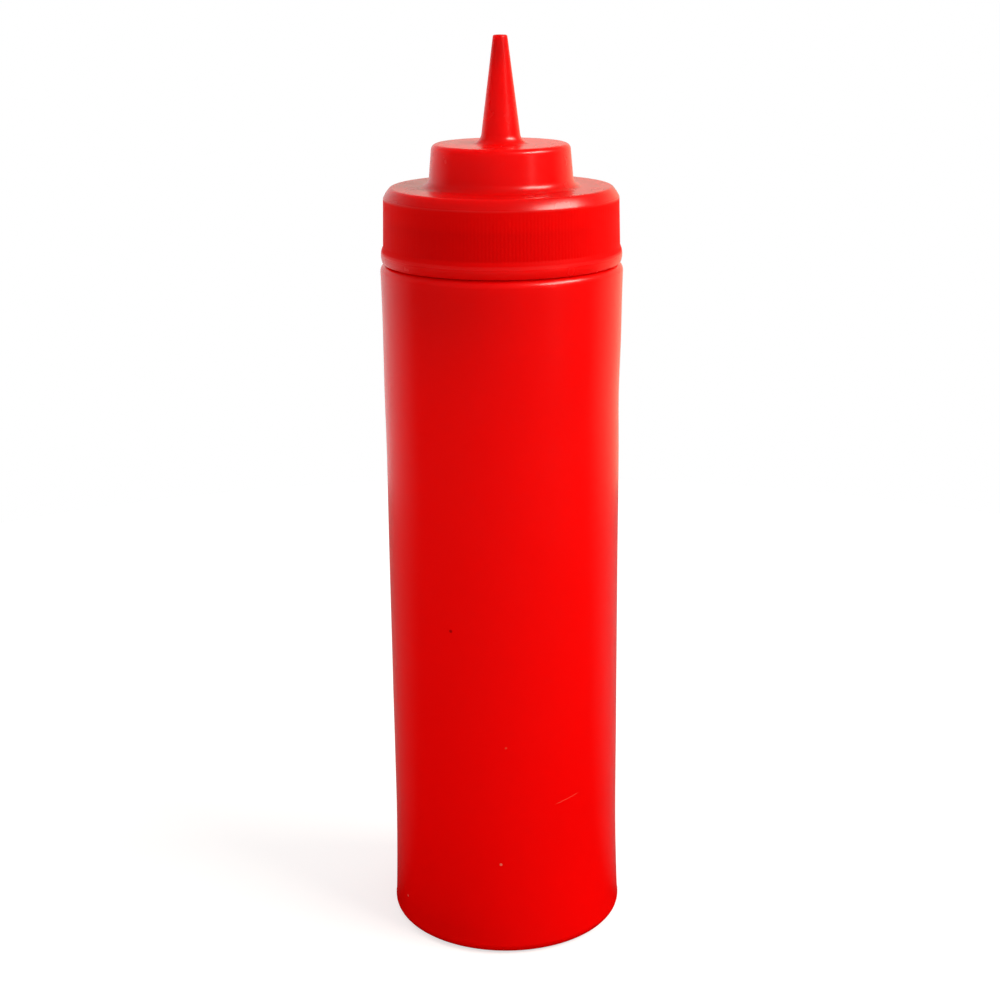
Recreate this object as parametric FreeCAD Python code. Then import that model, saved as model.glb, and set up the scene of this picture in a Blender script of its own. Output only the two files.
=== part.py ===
"""Squeeze bottle for sauces: a tall blow-moulded body and a one-piece nozzle cap.

Millimetres, +Z up. The origin is the centre of the base, on the surface that the
bottle stands on. Both pieces are turned shapes round the Z axis:

    bottle_body   the closed body with its neck; it can't be seen into, so it is solid
    nozzle_cap    skirt, deck, hub and cone in one moulding, seated on the neck's rim
"""
import FreeCAD
import Part
import os
from math import hypot

# --- body -------------------------------------------------------------------
body_height = 208.0             # standing surface to the shoulder's flat
body_diameter = 69.9            # the straight middle of the body
base_flare = 0.95               # how much wider the foot is, on the radius
base_flare_height = 41.0        # where that flare ends, above the standing surface
shoulder_flare = 0.7            # how much wider the top is, on the radius
shoulder_flare_height = 50.0    # where that flare starts, below the shoulder
base_edge_radius = 3.0          # rounding between the side and the standing ring
shoulder_edge_radius = 2.2      # rounding between the side and the shoulder's flat
standing_ring_width = 6.0       # flat ring inside the rounded foot
base_recess_depth = 1.6         # push-up of the base inside the ring
base_recess_slope = 3.0         # width over which the ring climbs to the push-up

# --- neck and the fit of the cap on it -----------------------------------------
shoulder_width = 4.3            # ledge from the side of the body in to the neck
neck_height = 19.9              # shoulder's flat to the rim
neck_rim_chamfer = 0.6
neck_clearance = 0.25           # neck to socket, on the radius
skirt_gap = 0.2                 # fine slit between the shoulder and the skirt

# --- cap --------------------------------------------------------------------
skirt_wall = 2.7                # socket to the outside, at the top of the skirt
skirt_draft = 0.35              # how much wider the skirt is at its foot, on the radius
bead_height = 4.9               # rolled bead round the foot of the skirt
bead_proud = 0.65               # how far its crest stands out from the skirt
bead_crest_height = 2.7         # foot of the skirt to the crest
bead_lip = 0.2                  # how far it already stands out at the foot
bead_lip_radius = 0.5           # rounding of its lower edge
deck_thickness = 2.1            # rim of the neck to the top of the deck
deck_chamfer_width = 2.1        # sloped edge between skirt and deck, along the radius
deck_chamfer_height = 3.0       # and down the skirt
deck_chamfer_bow = 0.15         # how far the slope bulges from a straight line
deck_edge_radius = 1.2          # rounding of its upper line, at the deck
skirt_edge_radius = 0.6         # rounding of its lower line, at the skirt
hub_diameter = 42.3             # at the deck
hub_top_diameter = 40.1
hub_height = 12.2               # deck to the top of the hub
hub_root_radius = 3.0
hub_edge_radius = 1.7

# --- nozzle -----------------------------------------------------------------
nozzle_diameter = 11.9          # cone at the hub
nozzle_tip_diameter = 4.1
nozzle_height = 30.3            # top of the hub to the tip
nozzle_root_radius = 3.0
nozzle_tip_radius = 0.55
orifice_diameter = 1.8          # blind hole in the tip
orifice_depth = 8.0

# --- worked out from the values above ---------------------------------------------
body_radius = body_diameter / 2
foot_radius = body_radius + base_flare
shoulder_radius = body_radius + shoulder_flare
neck_radius = shoulder_radius - shoulder_width
rim_z = body_height + neck_height
socket_radius = neck_radius + neck_clearance
skirt_top_radius = socket_radius + skirt_wall
skirt_foot_radius = skirt_top_radius + skirt_draft
skirt_foot_z = body_height + skirt_gap
deck_z = rim_z + deck_thickness
deck_radius = skirt_top_radius - deck_chamfer_width
skirt_top_z = deck_z - deck_chamfer_height
hub_z = deck_z + hub_height
tip_z = hub_z + nozzle_height

AXIS = FreeCAD.Vector(0, 0, 1)
CENTRE = FreeCAD.Vector(0, 0, 0)
SAME = 1e-4                     # two places nearer than this are one


def at(radius, height):
    """A point of a half outline, in the XZ plane."""
    return FreeCAD.Vector(radius, 0, height)


def line(start, end):
    """A straight stretch of an outline."""
    return Part.LineSegment(at(*start), at(*end)).toShape()


def bow(start, middle, end):
    """A round stretch of an outline, through three points."""
    return Part.Arc(at(*start), at(*middle), at(*end)).toShape()


def flare(straight, edge):
    """A parabola that leaves a vertical side at straight and widens to edge."""
    curve = Part.BezierCurve()
    middle = (straight[0], (straight[1] + edge[1]) / 2)
    curve.setPoles([at(*straight), at(*middle), at(*edge)])
    return curve.toShape()


def turned(edges):
    """The solid that a closed half outline makes round the Z axis."""
    face = Part.Face(Part.Wire(edges))
    solid = face.revolve(CENTRE, AXIS, 360)
    return Part.makeSolid(solid.Shells[0])


def rounded(solid, radius, ring_radius, ring_z):
    """The solid with its round edge of that radius and height given a fillet."""
    ring = [edge for edge in solid.Edges if is_ring(edge, ring_radius, ring_z)]
    return solid.makeFillet(radius, ring)


def is_ring(edge, ring_radius, ring_z):
    """Whether an edge is the circle of that radius and height."""
    point = edge.Vertexes[0].Point
    box = edge.BoundBox
    level = abs(box.ZMin - ring_z) < SAME and abs(box.ZMax - ring_z) < SAME
    return level and abs(hypot(point.x, point.y) - ring_radius) < SAME


def make_body():
    """Foot with its push-up, flared side, shoulder and plain neck, as one solid."""
    ring_outer = foot_radius - base_edge_radius
    ring_inner = ring_outer - standing_ring_width
    recess_radius = ring_inner - base_recess_slope
    straight_foot = (body_radius, base_flare_height)
    straight_top = (body_radius, body_height - shoulder_flare_height)
    rim_radius = neck_radius - neck_rim_chamfer
    outline = [
        line((0, base_recess_depth), (recess_radius, base_recess_depth)),
        line((recess_radius, base_recess_depth), (ring_inner, 0)),
        line((ring_inner, 0), (foot_radius, 0)),
        flare(straight_foot, (foot_radius, 0)),
        line(straight_foot, straight_top),
        flare(straight_top, (shoulder_radius, body_height)),
        line((shoulder_radius, body_height), (neck_radius, body_height)),
        line((neck_radius, body_height), (neck_radius, rim_z - neck_rim_chamfer)),
        line((neck_radius, rim_z - neck_rim_chamfer), (rim_radius, rim_z)),
        line((rim_radius, rim_z), (0, rim_z)),
        line((0, rim_z), (0, base_recess_depth)),
    ]
    body = turned(outline)
    body = rounded(body, base_edge_radius, foot_radius, 0)
    return rounded(body, shoulder_edge_radius, shoulder_radius, body_height)


def make_cap():
    """Skirt with its bead, sloped deck edge, deck, hub and cone over a plain socket."""
    hub_radius = hub_diameter / 2
    hub_top_radius = hub_top_diameter / 2
    cone_radius = nozzle_diameter / 2
    tip_radius = nozzle_tip_diameter / 2
    orifice_radius = orifice_diameter / 2
    orifice_z = tip_z - orifice_depth
    bead_foot = (skirt_foot_radius + bead_lip, skirt_foot_z)
    bead_crest = (skirt_foot_radius + bead_proud, skirt_foot_z + bead_crest_height)
    bead_top = (skirt_foot_radius, skirt_foot_z + bead_height)
    slope_length = hypot(deck_chamfer_width, deck_chamfer_height)
    slope_middle = (
        (skirt_top_radius + deck_radius) / 2 + deck_chamfer_bow * deck_chamfer_height / slope_length,
        (skirt_top_z + deck_z) / 2 + deck_chamfer_bow * deck_chamfer_width / slope_length,
    )
    outline = [
        line((socket_radius, rim_z), (socket_radius, skirt_foot_z)),
        line((socket_radius, skirt_foot_z), bead_foot),
        bow(bead_foot, bead_crest, bead_top),
        line(bead_top, (skirt_top_radius, skirt_top_z)),
        bow((skirt_top_radius, skirt_top_z), slope_middle, (deck_radius, deck_z)),
        line((deck_radius, deck_z), (hub_radius, deck_z)),
        line((hub_radius, deck_z), (hub_top_radius, hub_z)),
        line((hub_top_radius, hub_z), (cone_radius, hub_z)),
        line((cone_radius, hub_z), (tip_radius, tip_z)),
        line((tip_radius, tip_z), (orifice_radius, tip_z)),
        line((orifice_radius, tip_z), (orifice_radius, orifice_z)),
        line((orifice_radius, orifice_z), (0, orifice_z)),
        line((0, orifice_z), (0, rim_z)),
        line((0, rim_z), (socket_radius, rim_z)),
    ]
    cap = turned(outline)
    cap = rounded(cap, bead_lip_radius, *bead_foot)
    cap = rounded(cap, skirt_edge_radius, skirt_top_radius, skirt_top_z)
    cap = rounded(cap, deck_edge_radius, deck_radius, deck_z)
    cap = rounded(cap, hub_root_radius, hub_radius, deck_z)
    cap = rounded(cap, hub_edge_radius, hub_top_radius, hub_z)
    cap = rounded(cap, nozzle_root_radius, cone_radius, hub_z)
    return rounded(cap, nozzle_tip_radius, tip_radius, tip_z)


os.makedirs("parts", exist_ok=True)
for name, shape in (("bottle_body", make_body()), ("nozzle_cap", make_cap())):
    shape.exportStep("parts/" + name + ".step")
    box = shape.BoundBox
    print(name, "valid", shape.isValid(), "volume", round(shape.Volume / 1000, 2), "ml",
          "width", round(box.XLength, 2), "from", round(box.ZMin, 2), "to", round(box.ZMax, 2))
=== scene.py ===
"""Squeeze bottle for sauces: the looks of its blown body and its moulded nozzle cap."""
import bpy
import bmesh
from math import atan2, cos, exp, hypot, pi, radians, sin, tan
from mathutils import Matrix, Vector


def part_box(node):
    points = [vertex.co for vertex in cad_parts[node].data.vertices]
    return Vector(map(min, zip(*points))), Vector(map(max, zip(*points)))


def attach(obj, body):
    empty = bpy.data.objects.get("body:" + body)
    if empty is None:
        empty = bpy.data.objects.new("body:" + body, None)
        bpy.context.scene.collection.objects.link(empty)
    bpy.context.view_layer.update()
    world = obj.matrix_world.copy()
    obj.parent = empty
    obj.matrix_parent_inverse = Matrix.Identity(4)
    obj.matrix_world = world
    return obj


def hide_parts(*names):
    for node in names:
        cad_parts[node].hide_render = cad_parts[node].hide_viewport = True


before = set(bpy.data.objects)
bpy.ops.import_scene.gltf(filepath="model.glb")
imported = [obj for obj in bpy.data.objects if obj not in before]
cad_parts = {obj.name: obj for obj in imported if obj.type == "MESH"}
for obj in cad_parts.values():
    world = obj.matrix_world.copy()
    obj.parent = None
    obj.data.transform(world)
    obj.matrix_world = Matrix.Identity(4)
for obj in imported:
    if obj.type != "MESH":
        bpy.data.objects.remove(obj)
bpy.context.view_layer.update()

# ---------------------------------------------------------------------------
# Bottle body. A tall, thin-walled bottle of low-density polyethylene, pigmented
# bright red all the way through. It is blown in a two-part mould: the foot is
# pinched off, and the two halves leave a hair-thin line up each side.
# ---------------------------------------------------------------------------
MM = 0.001
SAME = 0.001 * MM                       # two places nearer than this are one

rim_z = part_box("bottle_body")[1].z      # top of the neck
body_height = 208.0 * MM                # floor to the shoulder's flat
body_radius = 34.95 * MM                # the straight middle
base_flare = 0.95 * MM                  # how much wider the foot is
base_flare_height = 41.0 * MM           # how far up the side that reaches
shoulder_flare = 0.7 * MM               # how much wider the top is
shoulder_flare_height = 50.0 * MM       # how far down the side that reaches
base_edge = 3.0 * MM                    # rounding of the foot
shoulder_edge = 2.2 * MM                # rounding of the shoulder
shoulder_width = 4.3 * MM               # from the side in to the neck
rim_chamfer = 0.6 * MM
standing_ring = 6.0 * MM                # flat that the bottle stands on
push_up = 1.6 * MM                      # depth of the base inside that ring
push_up_slope = 3.0 * MM                # width of the cone that leads up to it
push_up_edge = 1.5 * MM                 # rounding at both ends of that cone
parting_ridge = 0.06 * MM               # how far the line up each side stands out
pinch_ridge = 0.35 * MM                 # how far the pinched seam hangs from the base
pinch_half_length = 17 * MM
pinch_half_width = 0.2 * MM
seam_cuts = (0.12 * MM, 0.3 * MM, 1.2 * MM)     # edges beside both seams keep them narrow
body_columns = 256
body_rows = 52

foot_radius = body_radius + base_flare
shoulder_radius = body_radius + shoulder_flare
neck_radius = shoulder_radius - shoulder_width
ring_inner = foot_radius - base_edge - standing_ring


def turned(outline, columns):
    """A closed skin: a half outline of (radius, height) pairs, spun round the Z axis."""
    mesh = bmesh.new()
    corners = [mesh.verts.new((radius, 0, height)) for radius, height in outline]
    edges = [mesh.edges.new(pair) for pair in zip(corners, corners[1:])]
    bmesh.ops.spin(mesh, geom=corners + edges, cent=(0, 0, 0), axis=(0, 0, 1),
                   angle=2 * pi, steps=columns, use_merge=True)
    bmesh.ops.remove_doubles(mesh, verts=mesh.verts, dist=SAME)
    bmesh.ops.recalc_face_normals(mesh, faces=mesh.faces)
    return mesh


def ring_edges(mesh, radius, height):
    """The edges of the circle of that radius at that height."""
    on_ring = {vert for vert in mesh.verts
               if abs(vert.co.xy.length - radius) < SAME and abs(vert.co.z - height) < SAME}
    return [edge for edge in mesh.edges if set(edge.verts) <= on_ring]


def round_ring(mesh, radius, height, rounding, segments):
    """Gives the sharp circle of that radius and height a fillet."""
    edges = ring_edges(mesh, radius, height)
    turn = edges[0].calc_face_angle()
    bmesh.ops.bevel(mesh, geom=edges, offset=rounding * tan(turn / 2), offset_type="OFFSET",
                    affect="EDGES", segments=segments, profile=0.5, material=-1)


def cut(mesh, place, normal):
    """Cuts new edges into the skin along a plane."""
    geometry = mesh.verts[:] + mesh.edges[:] + mesh.faces[:]
    bmesh.ops.bisect_plane(mesh, geom=geometry, dist=SAME, plane_co=place, plane_no=normal)


def push(vert, amount):
    """Moves a point outwards from the bottle's axis."""
    vert.co.xy += vert.co.xy.normalized() * amount


def bell(height, middle, reach):
    """1 at the middle height, running out softly above and below it."""
    return exp(-((height - middle) / reach) ** 2)


def side_flare(height):
    """How far the blown side stands out beyond its straight middle."""
    foot = max(0, 1 - height / base_flare_height)
    top = max(0, 1 - (body_height - height) / shoulder_flare_height)
    return base_flare * foot ** 2 + shoulder_flare * top ** 2


def blown_unevenness(angle, height):
    """The slight ovality and slow waves of a thin blown wall, none at the foot and the
    shoulder, and a swell all round just below the shoulder."""
    share = sin(pi * min(max(height / body_height, 0), 1))
    oval = 0.10 * MM * cos(2 * angle + 0.6)
    waves = 0.05 * MM * sin(3 * angle + height / (27 * MM))
    waves += 0.03 * MM * sin(7 * angle - height / (16 * MM))
    swell = 0.1 * MM * bell(height, 184 * MM, 11 * MM)
    return share * (oval + waves) + swell


def sway(height):
    """How far the soft side has settled to the right, near the foot, or to the left, above."""
    near_foot = 0.33 * MM * max(0, 1 - height / (75 * MM))
    above = 0.27 * MM * bell(height, 169 * MM, 13 * MM)
    return near_foot - above


def on_parting_line(vert):
    """Whether a point is on the hair line that the two mould halves leave up each side."""
    return abs(vert.co.y) < SAME and base_edge < vert.co.z < body_height - shoulder_edge


def on_pinched_seam(vert):
    """Whether a point is on the seam across the base, where the mould pinched it shut."""
    return (abs(vert.co.z - push_up) < SAME and abs(vert.co.y) < pinch_half_width
            and abs(vert.co.x) < pinch_half_length)


def make_body():
    """Foot with its push-up and pinched seam, flared side, shoulder and neck."""
    recess = (ring_inner - push_up_slope, push_up)
    outline = [(0, push_up), recess, (ring_inner, 0), (body_radius, 0),
               (body_radius, body_height), (neck_radius, body_height),
               (neck_radius, rim_z - rim_chamfer), (neck_radius - rim_chamfer, rim_z), (0, rim_z)]
    mesh = turned(outline, body_columns)
    for row in range(1, body_rows):
        cut(mesh, (0, 0, body_height * row / body_rows), (0, 0, 1))
    for vert in mesh.verts:
        if abs(vert.co.xy.length - body_radius) < SAME:
            push(vert, side_flare(vert.co.z))
    round_ring(mesh, foot_radius, 0, base_edge, segments=8)
    round_ring(mesh, shoulder_radius, body_height, shoulder_edge, segments=8)
    round_ring(mesh, ring_inner, 0, push_up_edge, segments=3)
    round_ring(mesh, *recess, push_up_edge, segments=3)
    for side in (-1, 1):
        for reach in seam_cuts:
            cut(mesh, (0, side * reach, 0), (0, 1, 0))
    for vert in mesh.verts:
        if vert.co.xy.length > ring_inner and vert.co.z < body_height:
            push(vert, blown_unevenness(atan2(vert.co.y, vert.co.x), vert.co.z))
        if on_parting_line(vert):
            push(vert, parting_ridge)
        if on_pinched_seam(vert):
            vert.co.z -= pinch_ridge
        vert.co.x += sway(vert.co.z)
    return mesh


def sRGB(code):
    """A hex colour as the linear colour that a shader takes."""
    channels = [int(code[place:place + 2], 16) / 255 for place in (1, 3, 5)]
    linear = [c / 12.92 if c <= 0.04045 else ((c + 0.055) / 1.055) ** 2.4 for c in channels]
    return (*linear, 1)


def add(tree, kind, inputs, **settings):
    """Adds a node; an input is a value or another node's output."""
    node = tree.nodes.new(kind)
    for name, value in settings.items():
        setattr(node, name, value)
    for socket, value in inputs.items():
        if isinstance(value, bpy.types.NodeSocket):
            tree.links.new(value, node.inputs[socket])
        else:
            node.inputs[socket].default_value = value
    return node


def new_material(name):
    """An empty material, its node tree and the object's own coordinates."""
    material = bpy.data.materials.new(name)
    material.use_nodes = True
    tree = material.node_tree
    tree.nodes.clear()
    place = add(tree, "ShaderNodeTexCoord", {}).outputs["Object"]
    return material, tree, place


# Specks in the side: degrees round from the front, height and half width in mm, colour.
specks = [(-26.9, 104.1, 0.45, "#A60000"), (0.4, 68.4, 0.35, "#F2503C"),
          (-2.5, 30.1, 0.40, "#F8806A"), (-61.4, 10.0, 0.45, "#EE6A60")]
# A faint scratch low on the right, its middle in degrees from the front and mm of height.
scratch_middle = (32.2, 49.3)
scratch_half_length = 4.6 * MM
scratch_half_width = 0.22 * MM
scratch_core = 0.05 * MM                # to this far from its middle line it is palest
scratch_rise = 0.253                    # height gained for each step to the right
scratch_strength = 0.35

polyethylene_ior = 1.51
travel = (1.0, 0.05, 0.04)              # red light travels far inside, green and blue hardly
pigment_cloud = 45 * MM                 # slow changes of the pigment
dull_patch = 12 * MM                    # patches that handling has dulled
draw_line = 2.2 * MM                    # width of the lines drawn up the wall
draw_line_stretch = 50                  # how much longer than wide they are
draw_line_depth = 0.012 * MM
skin_grain = 0.9 * MM                   # texture of the mould, drawn coarser than real so it shows
skin_grain_depth = 0.006 * MM
glow_even = 66 * MM                     # nearer than this to mid-height, light travels far inside,
glow_end = 97 * MM                      # and beyond this only a little
glow_far = 110 * MM
glow_near = 3 * MM


def on_side(degrees, height):
    """A point of the blown side, in metres, from its degrees and mm."""
    angle = radians(degrees)
    return Vector((body_radius * sin(angle), -body_radius * cos(angle), height * MM))


def with_specks(tree, place, colour):
    """A few soft-edged dots in the colour."""
    for degrees, height, half_width, tint in specks:
        away = add(tree, "ShaderNodeVectorMath", {0: place, 1: on_side(degrees, height)},
                   operation="DISTANCE")
        inside = add(tree, "ShaderNodeMapRange",
                     {"Value": away.outputs["Value"], "From Min": 1.4 * half_width * MM,
                      "From Max": 0.6 * half_width * MM})
        colour = add(tree, "ShaderNodeMix", {"Factor": inside.outputs["Result"], "A": colour,
                                             "B": sRGB(tint)}, data_type="RGBA").outputs["Result"]
    return colour


def with_scratch(tree, place, colour):
    """One faint pale line across the colour, softly ended."""
    away = add(tree, "ShaderNodeVectorMath", {0: place, 1: on_side(*scratch_middle)},
               operation="SUBTRACT").outputs["Vector"]
    across = add(tree, "ShaderNodeVectorMath", {0: away, 1: (-scratch_rise, 0, 1)},
                 operation="DOT_PRODUCT")
    across = add(tree, "ShaderNodeMath", {0: across.outputs["Value"]}, operation="ABSOLUTE")
    thin = add(tree, "ShaderNodeMapRange",
               {"Value": across.outputs[0], "From Min": scratch_core, "From Max": scratch_half_width,
                "To Min": scratch_strength, "To Max": 0})
    along = add(tree, "ShaderNodeVectorMath", {0: away}, operation="LENGTH")
    short = add(tree, "ShaderNodeMapRange",
                {"Value": along.outputs["Value"], "From Min": 0.7 * scratch_half_length,
                 "From Max": scratch_half_length, "To Min": 1, "To Max": 0})
    scratched = add(tree, "ShaderNodeMath", {0: thin.outputs["Result"], 1: short.outputs["Result"]},
                    operation="MULTIPLY")
    return add(tree, "ShaderNodeMix", {"Factor": scratched.outputs[0], "A": colour,
                                       "B": sRGB("#F2705C")}, data_type="RGBA").outputs["Result"]


def blown_polyethylene():
    """Blow-moulded LDPE, solid pigment. The eye gets a deep, even red that glows from inside
    because the wall lets light through, under a waxy half gloss with faint draw lines."""
    material, tree, place = new_material("LDPE_red_blow_moulded")
    cloudy = add(tree, "ShaderNodeTexNoise", {"Vector": place, "Scale": 1 / pigment_cloud, "Detail": 2})
    pigment = add(tree, "ShaderNodeMix", {"Factor": cloudy.outputs["Fac"], "A": sRGB("#FC0100"),
                                          "B": sRGB("#FF0201")}, data_type="RGBA")
    colour = with_specks(tree, place, pigment.outputs["Result"])
    colour = with_scratch(tree, place, colour)
    wear = add(tree, "ShaderNodeTexNoise", {"Vector": place, "Scale": 1 / dull_patch, "Detail": 4})
    dull = add(tree, "ShaderNodeMapRange", {"Value": wear.outputs["Fac"], "To Min": 0.22, "To Max": 0.28})
    drawn = add(tree, "ShaderNodeMapping", {"Vector": place, "Scale": (1, 1, 1 / draw_line_stretch)})
    lines = add(tree, "ShaderNodeTexNoise", {"Vector": drawn.outputs["Vector"], "Scale": 1 / draw_line,
                                             "Detail": 3})
    grain = add(tree, "ShaderNodeTexNoise", {"Vector": place, "Scale": 1 / skin_grain, "Detail": 2})
    relief = add(tree, "ShaderNodeBump", {"Height": lines.outputs["Fac"], "Distance": draw_line_depth})
    relief = add(tree, "ShaderNodeBump", {"Height": grain.outputs["Fac"], "Distance": skin_grain_depth,
                                          "Normal": relief.outputs["Normal"]})
    height = add(tree, "ShaderNodeSeparateXYZ", {"Vector": place}).outputs["Z"]
    from_middle = add(tree, "ShaderNodeMath", {0: height, 1: body_height / 2}, operation="SUBTRACT")
    from_middle = add(tree, "ShaderNodeMath", {0: from_middle.outputs[0]}, operation="ABSOLUTE")
    glow = add(tree, "ShaderNodeMapRange", {"Value": from_middle.outputs[0], "From Min": glow_even,
                                            "From Max": glow_end, "To Min": glow_far,
                                            "To Max": glow_near})
    shader = add(tree, "ShaderNodeBsdfPrincipled",
                 {"Base Color": colour, "Roughness": dull.outputs["Result"],
                  "IOR": polyethylene_ior, "Subsurface Weight": 1.0, "Subsurface Radius": travel,
                  "Subsurface Scale": glow.outputs["Result"], "Normal": relief.outputs["Normal"]})
    add(tree, "ShaderNodeOutputMaterial", {"Surface": shader.outputs["BSDF"]})
    return material


def piece(mesh, name, material, replaced):
    """Turns a finished bmesh into a piece of the object that stands for a CAD node."""
    data = bpy.data.meshes.new(name)
    mesh.to_mesh(data)
    mesh.free()
    data.shade_smooth()
    data.materials.append(material)
    made = bpy.data.objects.new(name, data)
    bpy.context.scene.collection.objects.link(made)
    flats = made.modifiers.new("flat faces stay flat", "WEIGHTED_NORMAL")
    flats.mode = "FACE_AREA"
    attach(made, "root")
    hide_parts(replaced)


piece(make_body(), "body_blown", blown_polyethylene(), "bottle_body")

# ---------------------------------------------------------------------------
# Nozzle cap. One injection moulding in the same red polyethylene: a skirt with
# fine grip ribs and a rolled bead at its foot, screwed down on the neck; a deck
# with a sloped edge; a stepped hub; and a cone with a small hole in its tip.
# ---------------------------------------------------------------------------
cap_low, cap_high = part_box("nozzle_cap")
skirt_foot_z = cap_low.z
tip_z = cap_high.z
neck_clearance = 0.25 * MM              # between the neck and the skirt's bore
skirt_wall = 2.7 * MM
skirt_draft = 0.35 * MM                 # how much wider the skirt is at its foot
bead_height = 4.9 * MM
bead_crest = 2.7 * MM                   # foot of the skirt to the widest place of the bead
bead_proud = 0.65 * MM                  # how far the bead stands out there,
bead_lip = 0.2 * MM                     # and at the foot
bead_lip_edge = 0.5 * MM                # rounding of the lip at the foot
bead_root = 0.8 * MM                    # rounding where the bead meets the skirt
bead_steps = 8
deck_rise = 2.1 * MM                    # from the bottle's rim up to the deck
slope_width = 2.1 * MM                  # sloped edge of the deck, along the radius,
slope_height = 3.0 * MM                 # and down the skirt
slope_bow = 0.15 * MM                   # how far it bulges from a straight line
slope_edge = 0.6 * MM                   # rounding between it and the skirt
deck_edge = 1.2 * MM                    # rounding between it and the deck
slope_steps = 6
join_radius = 27 * MM                   # on the deck: the ribbed skin ends here,
join_inner = join_radius - 1 * MM       # and the plain skin starts here
hub_radius = 21.15 * MM
hub_top_radius = 20.05 * MM
hub_height = 12.2 * MM
hub_root = 3.0 * MM                     # rounding between the deck and the hub
hub_edge = 1.7 * MM
cone_radius = 5.95 * MM
cone_root = 3.0 * MM                    # rounding between the hub and the cone
tip_radius = 2.05 * MM
tip_edge = 0.55 * MM
hole_radius = 0.9 * MM
hole_depth = 8.0 * MM
hole_edge = 0.15 * MM
ribs = 208
columns_per_rib = 4
rib_depth = 0.05 * MM
rib_above_foot = 3.6 * MM
rib_below_slope = 0.6 * MM
rib_fade = 0.9 * MM                     # length over which a rib runs out

socket_radius = neck_radius + neck_clearance
skirt_top_radius = socket_radius + skirt_wall
skirt_foot_radius = skirt_top_radius + skirt_draft
deck_z = rim_z + deck_rise
skirt_top_z = deck_z - slope_height
hub_z = deck_z + hub_height
rib_low = skirt_foot_z + rib_above_foot
rib_high = skirt_top_z - rib_below_slope


def bead_swell(height):
    """How far the rolled bead stands out from the skirt, at a height above its foot."""
    from_foot = (height - bead_crest) * (height - bead_height) / (bead_crest * bead_height)
    from_crest = height * (bead_height - height) / (bead_crest * (bead_height - bead_crest))
    return bead_lip * from_foot + bead_proud * from_crest


def slope_point(share):
    """A point of the deck's sloped edge, from 0 at the skirt to 1 at the deck."""
    bulge = 4 * slope_bow * share * (1 - share) / hypot(slope_width, slope_height)
    return (skirt_top_radius - slope_width * share + slope_height * bulge,
            skirt_top_z + slope_height * share + slope_width * bulge)


def make_skirt():
    """Socket, foot, bead, ribbed skirt and the outer deck."""
    heights = [bead_height * step / bead_steps for step in range(bead_steps + 1)]
    bead = [(skirt_foot_radius + bead_swell(height), skirt_foot_z + height) for height in heights]
    slope = [slope_point(step / slope_steps) for step in range(slope_steps + 1)]
    outline = [(0, rim_z), (socket_radius, rim_z), (socket_radius, skirt_foot_z), *bead,
               *slope, (join_radius, deck_z)]
    mesh = turned(outline, ribs * columns_per_rib)
    round_ring(mesh, *bead[0], bead_lip_edge, segments=5)
    round_ring(mesh, *bead[-1], bead_root, segments=3)
    round_ring(mesh, *slope[0], slope_edge, segments=5)
    round_ring(mesh, *slope[-1], deck_edge, segments=7)
    for height in (rib_low, rib_low + rib_fade / 2, rib_low + rib_fade,
                   rib_high - rib_fade, rib_high - rib_fade / 2, rib_high):
        cut(mesh, (0, 0, height), (0, 0, 1))
    outside = (socket_radius + skirt_top_radius) / 2
    for vert in mesh.verts:
        if vert.co.xy.length > outside:
            angle = atan2(vert.co.y, vert.co.x)
            share = min(1, (vert.co.z - rib_low) / rib_fade, (rib_high - vert.co.z) / rib_fade)
            push(vert, -rib_depth * max(0, share) * (0.5 - 0.5 * cos(ribs * angle)))
    return mesh


def make_nozzle():
    """Inner deck, hub, cone and the hole in its tip."""
    outline = [(join_inner, deck_z), (hub_radius, deck_z), (hub_top_radius, hub_z),
               (cone_radius, hub_z), (tip_radius, tip_z), (hole_radius, tip_z),
               (hole_radius, tip_z - hole_depth), (0, tip_z - hole_depth)]
    mesh = turned(outline, ribs)
    round_ring(mesh, hub_radius, deck_z, hub_root, segments=10)
    round_ring(mesh, hub_top_radius, hub_z, hub_edge, segments=8)
    round_ring(mesh, cone_radius, hub_z, cone_root, segments=10)
    round_ring(mesh, tip_radius, tip_z, tip_edge, segments=5)
    round_ring(mesh, hole_radius, tip_z, hole_edge, segments=2)
    return mesh


def make_cap():
    """The two skins, joined on the flat deck into one closed moulding."""
    mesh = make_skirt()
    nozzle = bpy.data.meshes.new("nozzle skin")
    upper = make_nozzle()
    upper.to_mesh(nozzle)
    upper.free()
    mesh.from_mesh(nozzle)
    bpy.data.meshes.remove(nozzle)
    rings = ring_edges(mesh, join_radius, deck_z) + ring_edges(mesh, join_inner, deck_z)
    bmesh.ops.bridge_loops(mesh, edges=rings)
    bmesh.ops.recalc_face_normals(mesh, faces=mesh.faces)
    return mesh


# Where each finish of the cap holds: nowhere at the first height, fully at the second.
# Below the sloped edge one share grows as the grip band's painted lighter top fades out,
# and the bead's lower lip is painted lighter.
cap_spans = {"above bead": (rib_low - 1.0 * MM, rib_low + 0.2 * MM),
             "below deck, past the painted light": (skirt_top_z, skirt_top_z - 6.5 * MM),
             "below slope": (skirt_top_z + 0.2 * MM, skirt_top_z - 0.6 * MM),
             "thin lip, painted lighter": (skirt_foot_z + 3.4 * MM, skirt_foot_z + 2.2 * MM)}
cap_cloud = 18 * MM                     # slow changes of the pigment
cap_dull_patch = 7 * MM                 # patches that handling has dulled
cap_grain = 0.5 * MM                    # texture of the mould, drawn coarser than real so it shows
polished_grain_depth = 0.004 * MM
grip_grain_depth = 0.02 * MM
plain_glow = 8 * MM                     # how far light travels inside the plain walls,
grip_glow = 1 * MM                      # in the grip band,
lip_glow = 0.7 * MM                     # and in the bead's thin lip


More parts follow.
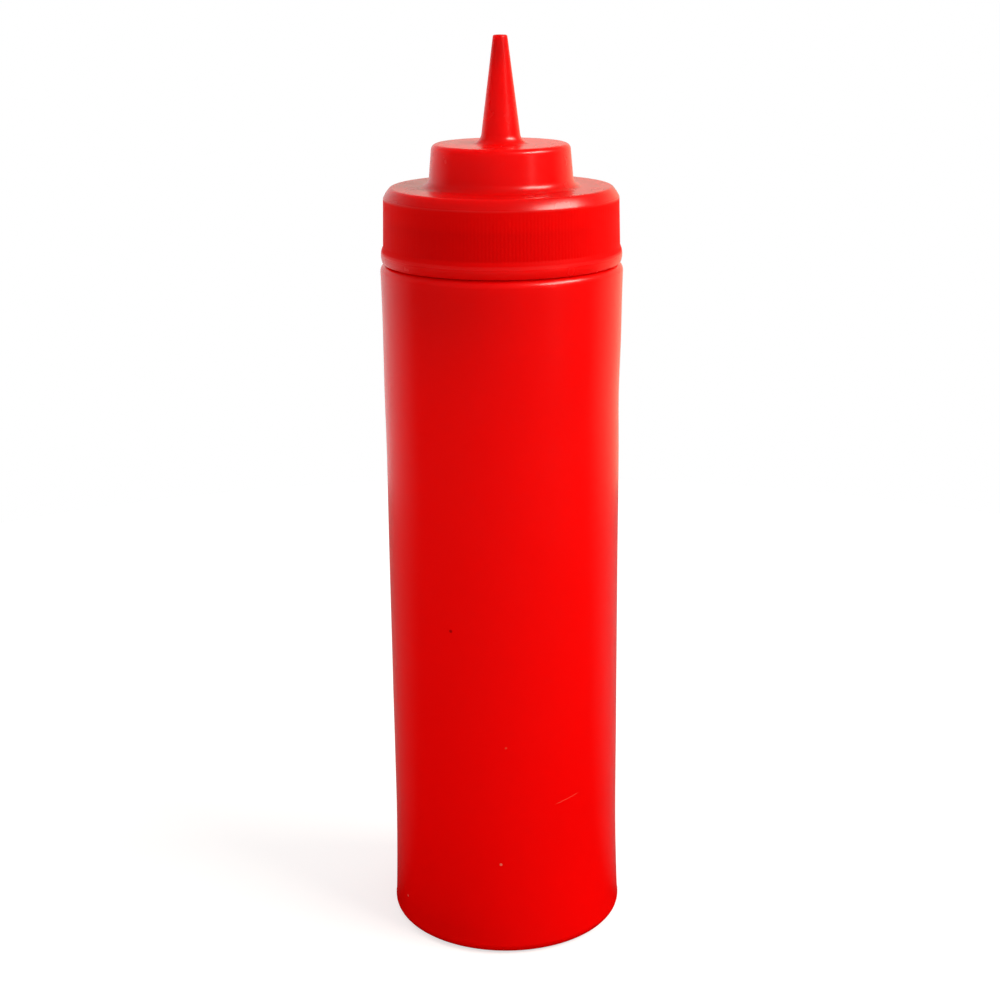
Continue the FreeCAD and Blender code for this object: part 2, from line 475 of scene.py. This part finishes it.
def moulded_polyethylene():
    """Injection-moulded LDPE. Polished tool faces give a clean half gloss; the fine-cut grip
    band scatters light, so it looks satin and a shade deeper, the deeper red partly painted
    shade of its fine ribs, and sets in softly. Its top under the sloped edge is painted lighter,
    a painted light from above that fades downwards, and the bead's lower lip is painted
    lighter, a painted glow."""
    material, tree, place = new_material("LDPE_red_injection_moulded")
    height = add(tree, "ShaderNodeSeparateXYZ", {"Vector": place}).outputs["Z"]
    share = {}
    for name, (none, full) in cap_spans.items():
        span = add(tree, "ShaderNodeMapRange", {"Value": height, "From Min": none, "From Max": full})
        share[name] = span.outputs["Result"]
    # Painted light: this share is low just below the sloped edge, where the grip band's top is painted
    # lighter, and full 6.5 mm further down.
    ribbed = add(tree, "ShaderNodeMath", {0: share["above bead"], 1: share["below deck, past the painted light"]},
                 operation="MULTIPLY").outputs[0]
    satin = add(tree, "ShaderNodeMath", {0: share["above bead"], 1: share["below slope"]},
                operation="MULTIPLY").outputs[0]

    cloudy = add(tree, "ShaderNodeTexNoise", {"Vector": place, "Scale": 1 / cap_cloud, "Detail": 2})
    plain = add(tree, "ShaderNodeMix", {"Factor": cloudy.outputs["Fac"], "A": sRGB("#E80201"),
                                        "B": sRGB("#F20302")}, data_type="RGBA")
    # The grip band's deeper red is partly painted shade, standing in for the darker look its fine ribs
    # give.
    deeper = add(tree, "ShaderNodeMix", {"Factor": cloudy.outputs["Fac"], "A": sRGB("#E00201"),
                                         "B": sRGB("#E80302")}, data_type="RGBA")
    # Painted light: just below the sloped edge the grip band's top is painted a lighter red, which fades
    # into the deeper red over 6.5 mm.
    band = add(tree, "ShaderNodeMix", {"Factor": ribbed, "A": sRGB("#FC0402"),
                                       "B": deeper.outputs["Result"]}, data_type="RGBA")
    colour = add(tree, "ShaderNodeMix", {"Factor": satin, "A": plain.outputs["Result"],
                                         "B": band.outputs["Result"]}, data_type="RGBA")
    # Painted light: the bead's lower lip is painted a lighter red, a painted glow along its edge.
    colour = add(tree, "ShaderNodeMix", {"Factor": share["thin lip, painted lighter"], "A": colour.outputs["Result"],
                                         "B": sRGB("#FF0806")}, data_type="RGBA")

    # Roughness, shine and depth of the grain, each on polished faces and then on the grip band.
    rough, shine, grain_depth = [
        add(tree, "ShaderNodeMix", {"Factor": satin, "A": polished, "B": grip}).outputs["Result"]
        for polished, grip in ((0.26, 0.5), (0.5, 0.03), (polished_grain_depth, grip_grain_depth))]
    wear = add(tree, "ShaderNodeTexNoise", {"Vector": place, "Scale": 1 / cap_dull_patch, "Detail": 4})
    uneven = add(tree, "ShaderNodeMapRange", {"Value": wear.outputs["Fac"], "To Min": -0.05,
                                              "To Max": 0.05})
    dull = add(tree, "ShaderNodeMath", {0: rough, 1: uneven.outputs["Result"]})
    grain = add(tree, "ShaderNodeTexNoise", {"Vector": place, "Scale": 1 / cap_grain, "Detail": 2})
    relief = add(tree, "ShaderNodeBump", {"Height": grain.outputs["Fac"], "Distance": grain_depth})
    glow = add(tree, "ShaderNodeMix", {"Factor": ribbed, "A": plain_glow, "B": grip_glow})
    glow = add(tree, "ShaderNodeMix", {"Factor": share["thin lip, painted lighter"], "A": glow.outputs["Result"],
                                       "B": lip_glow})
    shader = add(tree, "ShaderNodeBsdfPrincipled",
                 {"Base Color": colour.outputs["Result"], "Roughness": dull.outputs[0],
                  "IOR": polyethylene_ior, "Specular IOR Level": shine, "Subsurface Weight": 1.0,
                  "Subsurface Radius": travel, "Subsurface Scale": glow.outputs["Result"],
                  "Normal": relief.outputs["Normal"]})
    add(tree, "ShaderNodeOutputMaterial", {"Surface": shader.outputs["BSDF"]})
    return material


piece(make_cap(), "cap_moulded", moulded_polyethylene(), "nozzle_cap")

# ---------------------------------------------------------------------------
# Studio. A plain white floor in a white room, a broad soft lamp high on the
# right, a narrow strip beside the camera, two soft lamps behind that no gloss
# shows, and the camera a little above the cap.
# ---------------------------------------------------------------------------
floor_radius = 0.5
floor_lift = 0.62                       # glow of its own where the camera sees it, so it ends white
floor_mirrored = (0.004, 0.24)          # how bright a gloss shows it, in front and behind
room_light = 0.56                       # the room's light on the bottle and the floor
room_mirrored = (0.004, 0.84)           # how bright a gloss shows the room, in front and behind
room_warmth = (1, 0.97, 0.68, 1)        # its colour in a gloss, on the right
lamp_colour = (1.0, 0.97, 0.87)
lamp_aim = Vector((0, 0, 0.14))
camera_place = (-0.001, -0.5264, 0.2909)
camera_down = 16.5                      # degrees that it looks down
camera_lean = 0.43                      # degrees that it leans over


def ways_seen(tree):
    """Two shares: what the camera sees, straight or through a clear thing, and what a gloss shows."""
    path = add(tree, "ShaderNodeLightPath", {}).outputs
    seen = add(tree, "ShaderNodeMath", {0: path["Is Camera Ray"], 1: path["Is Transmission Ray"]},
               operation="MAXIMUM")
    return seen.outputs[0], path["Is Glossy Ray"]


def white_paper():
    """Matt white paper: an even white without shine, which keeps the bottle's soft shadow. It
    is clear from below and under the foot, so that the base can be looked at."""
    material, tree, place = new_material("Paper_white_matt")
    direct, gloss = ways_seen(tree)
    lift = add(tree, "ShaderNodeMix", {"Factor": direct, "A": 0.0, "B": floor_lift})
    glow = add(tree, "ShaderNodeEmission", {"Strength": lift.outputs["Result"]})
    around = add(tree, "ShaderNodeVectorMath", {0: place}, operation="NORMALIZE")
    behind = add(tree, "ShaderNodeSeparateXYZ", {"Vector": around.outputs["Vector"]}).outputs["Y"]
    mirrored = add(tree, "ShaderNodeMapRange", {"Value": behind, "From Min": 0.0, "From Max": 0.95,
                                                "To Min": floor_mirrored[0],
                                                "To Max": floor_mirrored[1]})
    shade = add(tree, "ShaderNodeMix", {"Factor": gloss, "A": sRGB("#BCBCBC"),
                                        "B": mirrored.outputs["Result"]}, data_type="RGBA")
    paper = add(tree, "ShaderNodeBsdfDiffuse", {"Color": shade.outputs["Result"]})
    both = add(tree, "ShaderNodeAddShader", {0: paper.outputs[0], 1: glow.outputs[0]})
    below = add(tree, "ShaderNodeNewGeometry", {}).outputs["Backfacing"]
    reach = add(tree, "ShaderNodeVectorMath", {0: place}, operation="LENGTH")
    covered = add(tree, "ShaderNodeMath", {0: reach.outputs["Value"], 1: foot_radius - base_edge},
                  operation="LESS_THAN")
    open_to = add(tree, "ShaderNodeMath", {0: below, 1: covered.outputs[0]}, operation="MAXIMUM")
    clear = add(tree, "ShaderNodeBsdfTransparent", {})
    surface = add(tree, "ShaderNodeMixShader", {0: open_to.outputs[0], 1: both.outputs[0],
                                                2: clear.outputs[0]})
    add(tree, "ShaderNodeOutputMaterial", {"Surface": surface.outputs[0]})
    return material


def make_floor():
    """A round sheet of paper under the bottle."""
    mesh = bmesh.new()
    bmesh.ops.create_circle(mesh, cap_ends=True, segments=96, radius=floor_radius)
    data = bpy.data.meshes.new("floor")
    mesh.to_mesh(data)
    mesh.free()
    data.materials.append(white_paper())
    made = bpy.data.objects.new("floor", data)
    bpy.context.scene.collection.objects.link(made)


def light_room():
    """The white room. A gloss shows it bright low down behind the bottle, darker higher up
    and nearly black on the camera's side, and a little warmer on the right."""
    world = bpy.data.worlds.new("white room")
    bpy.context.scene.world = world
    world.use_nodes = True
    tree = world.node_tree
    tree.nodes.clear()
    direct, gloss = ways_seen(tree)
    towards = add(tree, "ShaderNodeTexCoord", {}).outputs["Generated"]
    way = add(tree, "ShaderNodeSeparateXYZ", {"Vector": towards})
    behind = add(tree, "ShaderNodeMapRange", {"Value": way.outputs["Y"], "From Min": 0.05,
                                              "From Max": 0.95, "To Min": room_mirrored[0],
                                              "To Max": room_mirrored[1]})
    low = add(tree, "ShaderNodeMapRange", {"Value": way.outputs["Z"], "From Min": 0.2,
                                           "From Max": 0.6, "To Min": 1.0, "To Max": 0.2})
    mirrored = add(tree, "ShaderNodeMath", {0: behind.outputs["Result"], 1: low.outputs["Result"]},
                   operation="MULTIPLY")
    light = add(tree, "ShaderNodeMix", {"Factor": gloss, "A": room_light, "B": mirrored.outputs[0]})
    light = add(tree, "ShaderNodeMix", {"Factor": direct, "A": light.outputs["Result"], "B": 1.0})
    right = add(tree, "ShaderNodeMapRange", {"Value": way.outputs["X"], "From Min": -0.3,
                                             "From Max": 0.4})
    warm = add(tree, "ShaderNodeMath", {0: right.outputs["Result"], 1: gloss}, operation="MULTIPLY")
    tint = add(tree, "ShaderNodeMix", {"Factor": warm.outputs[0], "A": (1, 1, 1, 1),
                                       "B": room_warmth}, data_type="RGBA")
    walls = add(tree, "ShaderNodeBackground", {"Color": tint.outputs["Result"],
                                               "Strength": light.outputs["Result"]})
    add(tree, "ShaderNodeOutputWorld", {"Surface": walls.outputs[0]})


def lamp(name, azimuth, elevation, distance, width, height, power, in_gloss):
    """A soft rectangular lamp aimed at the bottle; azimuth 0 is the camera's side."""
    data = bpy.data.lights.new(name, "AREA")
    data.shape = "RECTANGLE"
    data.size = width
    data.size_y = height
    data.energy = power
    data.color = lamp_colour
    made = bpy.data.objects.new(name, data)
    turn, tilt = radians(azimuth), radians(elevation)
    away = Vector((sin(turn) * cos(tilt), -cos(turn) * cos(tilt), sin(tilt)))
    made.location = lamp_aim + away * distance
    made.rotation_euler = away.to_track_quat("Z", "Y").to_euler()
    made.visible_camera = False
    made.visible_glossy = in_gloss
    bpy.context.scene.collection.objects.link(made)


make_floor()
light_room()
lamp("key", azimuth=67, elevation=43, distance=1.2, width=0.78, height=0.36, power=11.8, in_gloss=True)
lamp("strip", azimuth=50, elevation=12, distance=1.5, width=0.14, height=0.9, power=0.55, in_gloss=True)
lamp("back left", azimuth=-125, elevation=18, distance=1.5, width=1.0, height=0.8, power=5.2,
     in_gloss=False)
lamp("back right", azimuth=120, elevation=14, distance=1.5, width=1.0, height=0.8, power=3.2,
     in_gloss=False)

camera = bpy.data.objects.new("camera", bpy.data.cameras.new("camera"))
camera.data.sensor_width = 36
camera.data.lens = 64.8
camera.data.clip_start = 0.01
looks_down = Matrix.Rotation(radians(90 - camera_down), 4, "X")
leans = Matrix.Rotation(radians(-camera_lean), 4, "Z")
camera.matrix_world = Matrix.Translation(camera_place) @ looks_down @ leans
bpy.context.scene.collection.objects.link(camera)
bpy.context.scene.camera = camera
bpy.context.scene.view_settings.view_transform = "Standard"
